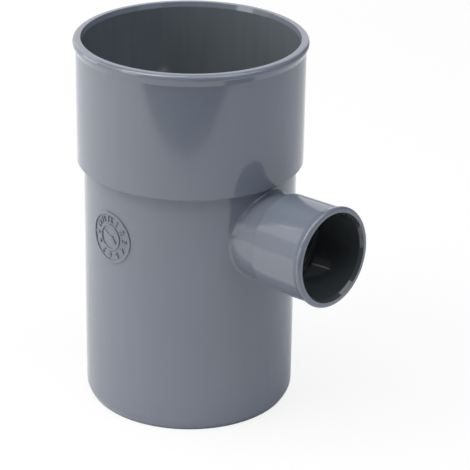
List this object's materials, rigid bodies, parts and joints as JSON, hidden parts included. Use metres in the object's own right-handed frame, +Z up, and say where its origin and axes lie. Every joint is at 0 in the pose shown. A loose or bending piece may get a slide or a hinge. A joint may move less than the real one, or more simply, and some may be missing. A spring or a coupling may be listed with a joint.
{
  "type": "reducing pipe branch",
  "caption": "Straight drainage fitting with a spigot, a socket in line above it and a smaller side socket on a short neck, rising slightly.",
  "frame": {"origin": "centre of the spigot's end ring, on the barrel's axis", "axes": "+Z up the barrel towards the main socket, +X towards the side branch, which rises 2.5 degrees above +X"},
  "size_m": [0.1451, 0.1086, 0.179],
  "materials": {
    "grey_pvc": "smooth moulded grey plastic, semi-gloss"
  },
  "bodies": {
    "root": {"pipe_branch": "grey_pvc"}
  },
  "joints": []
}
